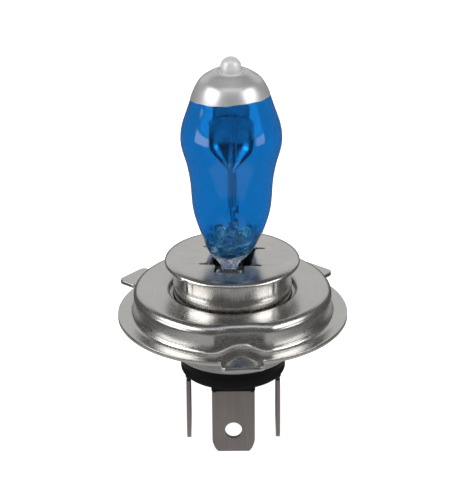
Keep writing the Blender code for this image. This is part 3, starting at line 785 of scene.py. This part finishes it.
def make_cup(surface):
    under = CUP_FLANGE_TOP - CUP_SHEET
    fillet = arc(TUBE_RADIUS + 0.5 * MM, under - 0.5 * MM, 0.5 * MM, 90, 180)
    wall = [(TUBE_RADIUS, z * MM) for z in (0.0, -3.0, -6.6)]
    bead = [(TUBE_RADIUS + 0.08 * MM, -6.95 * MM), (TUBE_RADIUS + 0.10 * MM, -7.2 * MM)]
    lip = arc(TUBE_RADIUS + 0.1 * MM - CUP_LIP_ROUND, CUP_BOTTOM + CUP_LIP_ROUND, CUP_LIP_ROUND, 0, -90)
    bm = bmesh.new()
    turned_grid(bm, [(CUP_FLANGE_RADIUS, under), *fillet, *wall, *bead, *lip], 160)
    cup = add_object("cup_pressing", bm, surface)
    thicken(cup, CUP_SHEET)
    soften(cup, 0.08 * MM)
    place(cup, "cup_steel", "base_cup")


# Insulator and terminals ----------------------


def terminal_places():
    """Node, middle (x, y) and turn about Z of each blade."""
    return (
        ("terminal_low_beam", (0.0, -FRONT_BLADE_OFFSET), 0.0),
        ("terminal_left", (-SIDE_BLADE_OFFSET, 0.0), -pi / 2),
        ("terminal_right", (SIDE_BLADE_OFFSET, 0.0), pi / 2),
    )


def rounded_rectangle(half_x, half_y, corner, z, steps=4):
    ring = []
    for quarter, (sx, sy) in enumerate(((1, 1), (-1, 1), (-1, -1), (1, -1))):
        for step in range(steps + 1):
            turn = radians(90 * quarter + 90 * step / steps)
            x = sx * (half_x - corner) + corner * cos(turn)
            y = sy * (half_y - corner) + corner * sin(turn)
            ring.append((x, y, z))
    return ring


def make_insulator(surface):
    bottom_round = arc(
        INSULATOR_RADIUS - INSULATOR_ROUND, INSULATOR_BOTTOM + INSULATOR_ROUND, INSULATOR_ROUND, 0, -90
    )
    path = [
        (INSULATOR_NECK_RADIUS, INSULATOR_TOP), (INSULATOR_NECK_RADIUS, INSULATOR_STEP),
        (INSULATOR_RADIUS, INSULATOR_STEP), *bottom_round,
    ]
    bm = bmesh.new()
    grid = turned_grid(bm, path, 144)
    bm.faces.new(grid[0])
    bm.faces.new(list(reversed(grid[-1])))
    insulator = add_object("insulator_moulding", bm, surface)
    boss_bottom = INSULATOR_BOTTOM - BOSS_HEIGHT
    cutters = []
    for node, middle, turn in terminal_places():
        half = BOSS_HALF if node == "terminal_low_beam" else SIDE_BOSS_HALF
        place_at = Matrix.Translation((*middle, 0.0)) @ Matrix.Rotation(turn, 4, "Z")
        bm = bmesh.new()
        levels = ((boss_bottom, 0.12 * MM), (boss_bottom + 0.15 * MM, 0.0), (INSULATOR_BOTTOM + MM, 0.0))
        rings = [rounded_rectangle(half.x - back, half.y - back, BOSS_CORNER - back, z) for z, back in levels]
        loft(bm, rings)
        bm.transform(place_at)
        boss = add_object("boss", bm, surface)
        union = insulator.modifiers.new("Boss", "BOOLEAN")
        union.operation = "UNION"
        union.object = boss
        bm = bmesh.new()
        ends = (boss_bottom - MM, INSULATOR_TOP + MM)
        loft(bm, [rectangle(TANG_HALF_WIDTH + 0.05 * MM, 0.35 * MM, z) for z in ends])
        bm.transform(place_at)
        slot = add_object("slot", bm, surface)
        cut(insulator, slot)
        cutters += [boss, slot]
    apply_modifiers(insulator)
    for cutter in cutters:
        bpy.data.objects.remove(cutter, do_unlink=True)
    insulator.data.shade_smooth()
    insulator.data.set_sharp_from_angle(angle=radians(35))
    soften(insulator, 0.05 * MM)
    place(insulator, "black_moulding", "insulator")


def blade_outline():
    """Counterclockwise (x, z) of a blade with rounded cut corners, and a narrower tang above."""
    end = BLADE_HALF_WIDTH - BLADE_CORNER.x
    corner = smooth_route(
        [(end, BLADE_BOTTOM, 0), (end + 0.55 * MM, BLADE_BOTTOM + 0.75 * MM, 0),
         (BLADE_HALF_WIDTH - 0.12 * MM, BLADE_BOTTOM + BLADE_CORNER.y - 0.4 * MM, 0),
         (BLADE_HALF_WIDTH, BLADE_BOTTOM + BLADE_CORNER.y + 0.3 * MM, 0)], 4
    )
    right = [(p.x, p.y) for p in corner]
    right += [(BLADE_HALF_WIDTH, BLADE_TOP), (TANG_HALF_WIDTH, BLADE_TOP), (TANG_HALF_WIDTH, TANG_TOP)]
    return right + [(-x, z) for x, z in reversed(right)]


def make_blade(node, middle, turn, surface):
    """A flat stamping with a round hole. The tang goes through the insulator."""
    half = BLADE_THICKNESS / 2
    bm = bmesh.new()
    rings = [[(x, y, z) for x, z in blade_outline()] for y in (half, -half)]
    loft(bm, rings)
    blade = add_object(node.replace("terminal", "blade"), bm, surface)
    bm = bmesh.new()
    bmesh.ops.create_cone(
        bm, cap_ends=True, segments=64, radius1=BLADE_HOLE_RADIUS, radius2=BLADE_HOLE_RADIUS, depth=3 * MM,
        matrix=Matrix.Translation((0, 0, BLADE_BOTTOM + BLADE_HOLE_RISE)) @ Matrix.Rotation(pi / 2, 4, "X"),
    )
    hole = add_object("hole", bm, surface)
    cut(blade, hole)
    apply_modifiers(blade)
    bpy.data.objects.remove(hole, do_unlink=True)
    blade.data.shade_smooth()
    blade.data.set_sharp_from_angle(angle=radians(35))
    blade.data.transform(Matrix.Translation((*middle, 0.0)) @ Matrix.Rotation(turn, 4, "Z"))
    soften(blade, 0.1 * MM)
    place(blade, "tinned_blade", node)


# Quartz, paint and tip ------------------------


class Profile:
    """The quartz's outside as a smooth curve of (half X, half Y, height), measured along its length."""

    def __init__(self):
        stations = [(a * MM, b * MM, z * MM) for z, a, b in QUARTZ_STATIONS]
        self.points = smooth_route(stations, 12)
        self.lengths = [0.0]
        for a, b in zip(self.points, self.points[1:]):
            self.lengths.append(self.lengths[-1] + hypot(b.x - a.x, b.z - a.z))

    def at(self, length):
        """The point at this length, and its outward lean as (out, up)."""
        for i, (low, high) in enumerate(zip(self.lengths, self.lengths[1:])):
            if length <= high:
                break
        share = (length - low) / (high - low)
        point = self.points[i].lerp(self.points[i + 1], share)
        step = self.points[min(i + 2, len(self.points) - 1)] - self.points[max(i - 1, 0)]
        size = hypot(step.x, step.z)
        return point, (step.z / size, -step.x / size)

    def length_at(self, height):
        for i, (a, b) in enumerate(zip(self.points, self.points[1:])):
            if b.z >= height:
                share = (height - a.z) / (b.z - a.z)
                return self.lengths[i] + share * (self.lengths[i + 1] - self.lengths[i])
        return self.lengths[-1]


def quartz_point(profile, length, turn, inset=0.0):
    """A point on the outside, or inset behind it. The pinch is nearly rectangular, the bulb round."""
    point, (out, up) = profile.at(length)
    power = 2 / (2 + 7 * (1 - blend(11.6 * MM, 16.0 * MM, point.z)))
    half_x = max(0.0, point.x - inset * out)
    half_y = max(0.0, point.y - inset * out)
    x = half_x * abs(cos(turn)) ** power * (1 if cos(turn) >= 0 else -1)
    y = half_y * abs(sin(turn)) ** power * (1 if sin(turn) >= 0 else -1)
    return Vector((x, y, point.z - inset * up))


def quartz_ring(profile, length, inset=0.0):
    return [quartz_point(profile, length, tau * c / QUARTZ_COLUMNS, inset) for c in range(QUARTZ_COLUMNS)]


def make_quartz_body(coated, bare, profile):
    """The blue bulb from the neck to the nose, with a closed cavity inside."""
    bm = bmesh.new()
    start = profile.length_at(BODY_BOTTOM)
    total = profile.lengths[-1]
    rings = [[Vector((p.x * 0.9, p.y * 0.97, p.z)) for p in quartz_ring(profile, start)]]
    rings += [quartz_ring(profile, start + 0.1 * MM + (total - start) * step / 100) for step in range(100)]
    loft(bm, rings)
    start = profile.length_at(CAVITY_FLOOR_RINGS)
    end = profile.length_at(NOSE_INNER_TOP)
    first = quartz_ring(profile, start, QUARTZ_WALL)
    rings = []
    for share in (0.03, 0.12, 0.25, 0.4, 0.55, 0.7, 0.85):
        size = sqrt(1 - (1 - share) ** 2)
        z = CAVITY_BOTTOM + (first[0].z - CAVITY_BOTTOM) * share
        rings.append([Vector((p.x * size, p.y * size, z)) for p in first])
    rings += [quartz_ring(profile, start + (end - start) * step / 80, QUARTZ_WALL) for step in range(81)]
    inside = loft(bm, rings)
    cavity = {vert for ring in inside for vert in ring}
    faces = [face for face in bm.faces if face.verts[0] in cavity]
    bmesh.ops.reverse_faces(bm, faces=faces)
    for face in faces:
        face.material_index = 1
    body = add_object("quartz_body", bm, coated, radians(70))
    body.data.materials.append(bare)
    turn_burner(body)
    place(body, "blue_quartz", "glass_envelope")


def make_pinch(surface, profile):
    """The flat squeezed foot of the quartz."""
    bm = bmesh.new()
    end = profile.length_at(PINCH_TOP)
    loft(bm, [quartz_ring(profile, end * step / 30) for step in range(31)])
    pinch = add_object("quartz_pinch", bm, surface, radians(60))
    turn_burner(pinch)
    place(pinch, "clear_quartz", "press_seal")


def make_paint_cap(surface, profile):
    """A thin film over the nose, whose lower edge is slightly tilted."""
    total = profile.lengths[-1]
    grid = []
    for film in (0.0, -PAINT_FILM):
        rows = []
        for step in range(41):
            share = step / 40
            row = []
            for c in range(QUARTZ_COLUMNS):
                turn = tau * c / QUARTZ_COLUMNS
                reach = 7.3 * MM
                height = PAINT_HEIGHT + PAINT_SLOPE_X * reach * cos(turn) + PAINT_SLOPE_Y * reach * sin(turn)
                height += 0.06 * MM * sin(5 * turn + 1) + 0.04 * MM * sin(13 * turn)
                low = profile.length_at(height)
                row.append(quartz_point(profile, low + (total - low) * share, turn, film - 0.01 * MM))
            rows.append(row)
        grid.append(rows)
    inner, outer = grid
    bm = bmesh.new()
    loft(bm, [*reversed(inner), *outer])
    bmesh.ops.recalc_face_normals(bm, faces=bm.faces)
    cap = add_object("painted_nose", bm, surface, radians(60))
    turn_burner(cap)
    place(cap, "silver_paint", "reflective_cap")


def make_tip(surface):
    """The sealed filling stub, flowing into the nose."""
    path = smooth_route(
        [(0.02, 0, 50.5), (0.7, 0, 50.38), (1.35, 0, 49.95), (1.78, 0, 49.3), (1.93, 0, 48.6),
         (1.95, 0, 48.0), (2.02, 0, 47.8), (2.25, 0, 47.72), (2.3, 0, 47.4)], 5
    )
    bm = bmesh.new()
    grid = turned_grid(bm, [(p.x * MM, p.z * MM) for p in path], 64)
    bm.faces.new(grid[0])
    bm.faces.new(list(reversed(grid[-1])))
    tip = add_object("painted_tip", bm, surface)
    turn_burner(tip)
    place(tip, "silver_paint", "exhaust_tip")


# Inside ---------------------------------------


def foil_places():
    return (("low_beam", -FOIL_SPACING), ("ground", 0.0), ("high_beam", FOIL_SPACING))


def make_foils(surface):
    """Thin strips with feathered edges."""
    for name, y in foil_places():
        bm = bmesh.new()
        rings = []
        for z, half in ((3.5, 0.4), (3.8, 1.0), (4.3, 1.2), (8.7, 1.2), (9.2, 1.0), (9.5, 0.4)):
            flat = 0.6 * half
            ring = [(0, -half), (0.04, -flat), (0.04, flat), (0, half), (-0.04, flat), (-0.04, -flat)]
            rings.append([(px * MM, y + py * MM, z * MM) for px, py in ring])
        loft(bm, rings)
        foil = add_object("strip_" + name, bm, surface)
        turn_burner(foil)
        place(foil, "molybdenum", "foil_" + name)


def make_leads(surface):
    ends = (
        Vector((0.0, -7.25, 0.0)) * MM, Vector((-7.55, 0.0, 0.0)) * MM, Vector((7.55, 0.0, 0.0)) * MM,
    )
    turn = Matrix.Rotation(BURNER_TURN, 3, "Z")
    for (name, y), end in zip(foil_places(), ends):
        start = turn @ Vector((0.0, y, 0.0))
        points = [
            start + Vector((0, 0, 3.3 * MM)), start + Vector((0, 0, 1.6 * MM)),
            start.lerp(end, 0.35) + Vector((0, 0, -0.2 * MM)),
            start.lerp(end, 0.92) + Vector((0, 0, -1.6 * MM)), end + Vector((0, 0, -3.4 * MM)),
        ]
        wire = add_wire("outer_" + name, smooth_route(points, 8), LEAD_RADIUS, surface, False)
        place(wire, "molybdenum", "lead_" + name)


def make_inner_wires(surface):
    support = [
        (0, 0, 9.8), (0, 0, 18.1), (-0.3, 0.25, 21), (-0.3, 0.35, 28.2), (-0.3, 1.2, 30.0), (-0.2, 2.6, 33.0),
    ]
    low = [(0, -3.9, 9.8), (0, -3.9, 18.1), (0, -2.6, 22), (0, -1.75, 28), (0, -1.4, 32.4), (0.3, -1.0, 33.0)]
    high = [(0, 3.9, 9.8), (0, 3.9, 18.1), (0.8, 2.2, 19.4), (0.9, 1.4, 20.4), (0.95, 0.6, 21.1)]
    for name, points, radius, node in (
        ("stem", support, 0.45, "shield_support_wire"),
        ("low_wire", low, 0.22, "low_beam_lead_wire"),
        ("high_wire", high, 0.25, "high_beam_lead_wire"),
    ):
        route = smooth_route([Vector(p) * MM for p in points], 8)
        wire = add_wire(name, route, radius * MM, surface)
        place(wire, "molybdenum", node)


def make_bridge(surface):
    """A fused quartz bar with soft edges, swollen round each wire."""
    bm = bmesh.new()
    rings = []
    for step in range(BRIDGE_STEPS + 1):
        share = step / BRIDGE_STEPS
        y = (share * 2 - 1) * BRIDGE_HALF.y
        swell = sum(0.3 * exp(-((y / MM - middle) / 0.8) ** 2) for middle in (-3.9, 0.0, 3.9))
        end = sqrt(max(0.0, 1 - abs(share * 2 - 1) ** 8)) * 0.9 + 0.1
        half_x = (BRIDGE_HALF.x + swell * MM) * end
        half_z = BRIDGE_HALF.z * end
        ring = []
        for c in range(20):
            turn = tau * c / 20
            ring.append((half_x * sin(turn), y, BRIDGE_MIDDLE + half_z * cos(turn)))
        rings.append(ring)
    loft(bm, rings)
    bmesh.ops.recalc_face_normals(bm, faces=bm.faces)
    bridge = add_object("quartz_bridge", bm, surface)
    turn_burner(bridge)
    place(bridge, "clear_quartz", "filament_bridge")


def make_shield(surface):
    """A pressed spoon with a step near its top, hollow towards the front."""
    bm = bmesh.new()
    grid = []
    lower = smooth_route([Vector(s) for s in SHIELD_STATIONS[:6]], 5)
    upper = smooth_route([Vector(s) for s in SHIELD_STATIONS[6:]], 5)
    for station in [*lower, *upper]:
        z, half_width, depth = station
        turns = [pi * c / SHIELD_COLUMNS for c in range(SHIELD_COLUMNS + 1)]
        row = [bm.verts.new((half_width * MM * cos(a), depth * MM * sin(a), z * MM)) for a in turns]
        grid.append(row)
    for low, high in zip(grid, grid[1:]):
        for c in range(SHIELD_COLUMNS):
            bm.faces.new((low[c], low[c + 1], high[c + 1], high[c]))
    shield = add_object("shield_pressing", bm, surface)
    thicken(shield, SHIELD_SHEET)
    soften(shield, 0.03 * MM)
    turn_burner(shield)
    place(shield, "molybdenum", "shield_cup")


def coil_points(middle, radius, bottom, top, turns, per_turn=20):
    count = turns * per_turn
    points = []
    for step in range(count + 1):
        turn = tau * step / per_turn
        z = bottom + (top - bottom) * step / count
        points.append((middle[0] + radius * cos(turn), middle[1] + radius * sin(turn), z))
    return points


def make_filaments(surface):
    """Tight coils with straight legs."""
    low = coil_points((0.35 * MM, -0.2 * MM), 0.55 * MM, 34.2 * MM, 37.6 * MM, 10)
    leg = [(0.9 * MM, -0.6 * MM, 31.0 * MM), (0.9 * MM, -0.2 * MM, 33.9 * MM)]
    low = [*leg, *low, (0.35 * MM, -1.3 * MM, 38.2 * MM)]
    high = coil_points((0.55 * MM, 0.35 * MM), 0.36 * MM, 21.2 * MM, 28.2 * MM, 24, 14)
    high = [*high, (0.5 * MM, 0.3 * MM, 28.6 * MM), (-0.2 * MM, 0.3 * MM, 28.8 * MM)]
    wire = add_wire("low_coil", low, LOW_COIL_WIRE, surface)
    place(wire, "tungsten", "low_beam_filament")
    wire = add_wire("high_coil", high, HIGH_COIL_WIRE, surface)
    place(wire, "tungsten", "high_beam_filament")


# Studio ---------------------------------------


def direction(azimuth, elevation):
    """Azimuth 0 is towards the camera, 90 towards +X, in degrees."""
    a, e = radians(azimuth), radians(elevation)
    return Vector((sin(a) * cos(e), -cos(a) * cos(e), sin(e)))


def glowing(name, strength, half_width=None, half_height=None):
    """An evenly bright surface or, with half sizes, a card that fades towards its edges."""
    made, tree, shader = new_material(name)
    shader.inputs["Base Color"].default_value = (0.0, 0.0, 0.0, 1.0)
    shader.inputs["Roughness"].default_value = 1.0
    shader.inputs["Specular IOR Level"].default_value = 0.0
    shader.inputs["Emission Color"].default_value = (1.0, 1.0, 1.0, 1.0)
    shader.inputs["Emission Strength"].default_value = strength
    if half_width:
        x, y, _ = split_place(tree)
        fades = []
        for axis, half in ((x, half_width), (y, half_height)):
            reach = math_node(tree, "ABSOLUTE", axis)
            fades.append(between(tree, reach, 1.0, 0.0, CARD_FADE * half, half))
        both = math_node(tree, "MULTIPLY", *fades)
        tree.links.new(math_node(tree, "MULTIPLY", both, strength), shader.inputs["Emission Strength"])
    return made


def add_panel(name, azimuth, elevation, width, height, strength, distance):
    """A bright card with soft edges that only shiny and clear surfaces see."""
    bm = bmesh.new()
    bm.faces.new([bm.verts.new(p) for p in rectangle(width / 2, height / 2, 0.0)])
    card = add_object(name, bm, glowing(name, strength, width / 2, height / 2))
    way = direction(azimuth, elevation)
    card.location = way * distance
    card.rotation_euler = way.to_track_quat("Z", "Y").to_euler()
    card.visible_camera = False
    card.visible_diffuse = False
    card.visible_shadow = False
    return card


def add_overhead_light():
    light = bpy.data.lights.new("overhead", "AREA")
    light.shape = "RECTANGLE"
    light.size = OVERHEAD_SIZE
    light.size_y = OVERHEAD_SIZE
    light.energy = OVERHEAD_POWER
    lamp = bpy.data.objects.new("overhead", light)
    lamp.location = OVERHEAD_PLACE
    lamp.rotation_euler = OVERHEAD_PLACE.to_track_quat("Z", "Y").to_euler()
    lamp.visible_glossy = False
    bpy.context.scene.collection.objects.link(lamp)


def make_studio():
    for card in CARDS:
        add_panel(*card)
    for name, height, half, strength in MATS:
        mat = add_panel(name, 0, -90, 2 * half, 2 * half, strength, 0.0)
        mat.location = (0.0, -MAT_FORWARD, height)
        mat.visible_transmission = False
    for row in INNER_CARDS:
        card = add_panel(*row)
        card.visible_glossy = False
    bm = bmesh.new()
    bmesh.ops.create_circle(bm, cap_ends=True, segments=96, radius=FLOOR_RADIUS)
    floor = add_object("floor", bm, pale_surface())
    floor.location.z = BLADE_BOTTOM
    floor.visible_glossy = False
    bm = bmesh.new()
    bmesh.ops.create_uvsphere(bm, u_segments=48, v_segments=24, radius=BACKDROP_RADIUS)
    backdrop = add_object("backdrop", bm, glowing("backdrop", 1.0))
    backdrop.visible_glossy = False
    backdrop.visible_diffuse = False
    backdrop.visible_transmission = False
    backdrop.visible_shadow = False
    add_overhead_light()
    world = bpy.data.worlds.new("studio")
    world.use_nodes = True
    background = world.node_tree.nodes["Background"]
    background.inputs["Color"].default_value = (1.0, 1.0, 1.0, 1.0)
    background.inputs["Strength"].default_value = WORLD_STRENGTH
    bpy.context.scene.world = world
    bpy.context.scene.view_settings.view_transform = "Standard"


def pale_surface():
    made, _, shader = new_material("pale_floor")
    shader.inputs["Base Color"].default_value = (0.93, 0.93, 0.93, 1.0)
    shader.inputs["Roughness"].default_value = 1.0
    shader.inputs["Specular IOR Level"].default_value = 0.0
    shader.inputs["Emission Color"].default_value = (1.0, 1.0, 1.0, 1.0)
    shader.inputs["Emission Strength"].default_value = FLOOR_GLOW
    return made


def make_camera():
    data = bpy.data.cameras.new("camera")
    data.sensor_width = CAMERA_SENSOR
    data.sensor_fit = "HORIZONTAL"
    data.lens = CAMERA_LENS
    data.clip_start = 0.01
    data.clip_end = 20.0
    camera = bpy.data.objects.new("camera", data)
    back = Vector((0.0, -cos(CAMERA_RISE), sin(CAMERA_RISE)))
    camera.location = CAMERA_TARGET + back * CAMERA_DISTANCE
    turn = back.to_track_quat("Z", "Y").to_matrix() @ Matrix.Rotation(-CAMERA_ROLL, 3, "Z")
    camera.rotation_euler = turn.to_euler()
    bpy.context.scene.collection.objects.link(camera)
    bpy.context.scene.camera = camera


# Assembly -------------------------------------


def main():
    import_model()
    make_camera()
    make_studio()
    surfaces = make_materials()
    profile = Profile()
    make_ring(surfaces["ring_steel"])
    make_collar(surfaces["collar_steel"])
    make_cup(surfaces["cup_steel"])
    make_insulator(surfaces["black_moulding"])
    for node, middle, turn in terminal_places():
        make_blade(node, middle, turn, surfaces["tinned_blade"])
    make_quartz_body(surfaces["blue_quartz"], surfaces["cavity_quartz"], profile)
    make_pinch(surfaces["pinch_quartz"], profile)
    make_paint_cap(surfaces["silver_paint"], profile)
    make_tip(surfaces["tip_paint_with_painted_highlight"])
    make_foils(surfaces["molybdenum"])
    make_leads(surfaces["molybdenum"])
    make_inner_wires(surfaces["molybdenum"])
    make_bridge(surfaces["clear_quartz"])
    make_shield(surfaces["shield_metal"])
    make_filaments(surfaces["tungsten"])


main()
